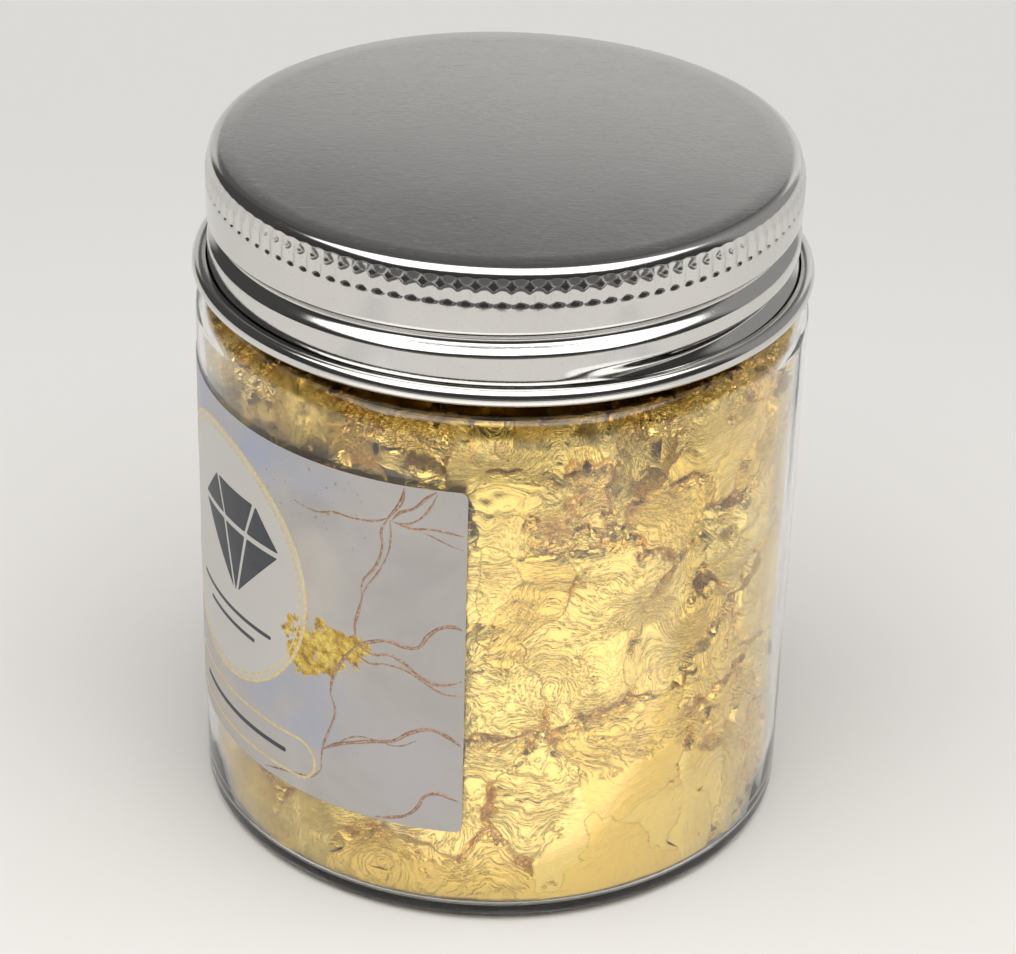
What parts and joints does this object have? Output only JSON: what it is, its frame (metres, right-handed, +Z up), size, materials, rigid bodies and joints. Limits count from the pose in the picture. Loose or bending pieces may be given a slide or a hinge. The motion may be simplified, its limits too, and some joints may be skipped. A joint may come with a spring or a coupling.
{
  "type": "screw-lid jar of gold leaf flakes",
  "caption": "Clear straight-walled jar with a threaded neck and a rolled aluminium screw lid, packed with crumpled gold leaf flakes and wrapped with a printed label.",
  "frame": {"origin": "centre of the jar's base, on the plane that its standing ring rests on", "axes": "+Z up along the jar's axis towards the lid, -Y towards the front, where the label's right edge is, +X to the right"},
  "size_m": [0.0686, 0.0686, 0.0799],
  "materials": {
    "clear_plastic": "clear glossy moulded plastic",
    "label_print": "semi-gloss printed film, pale marble pattern with copper veins",
    "gold_leaf": "crumpled bright metal leaf",
    "liner_foam": "fine closed-cell white foam",
    "lid_aluminium": "satin sheet with bright rolled edges"
  },
  "bodies": {
    "jar": {"jar": "clear_plastic", "label": "label_print", "packed_leaf": "gold_leaf", "neck_leaf": "gold_leaf", "front_leaf": "gold_leaf", "right_leaf": "gold_leaf", "back_leaf": "gold_leaf", "left_leaf": "gold_leaf", "loose_leaf": "gold_leaf"},
    "lid lift": {"lid_liner": "liner_foam"},
    "lid": {"lid_shell": "lid_aluminium"}
  },
  "joints": [
    {"name": "lid_lift", "type": "slide", "parent": "jar", "child": "lid lift", "axis": [0, 0, 1], "range_m": [0, 0.0159]},
    {"name": "lid_turn", "type": "hinge", "parent": "lid lift", "child": "lid", "pos_m": [0, 0, 0.0725], "axis": [0, 0, 1], "range_deg": [0, 1350]}
  ],
  "couplings": [
    {"joint": "lid_lift", "follows": "lid_turn", "m_per_rad": 0.0006737}
  ]
}
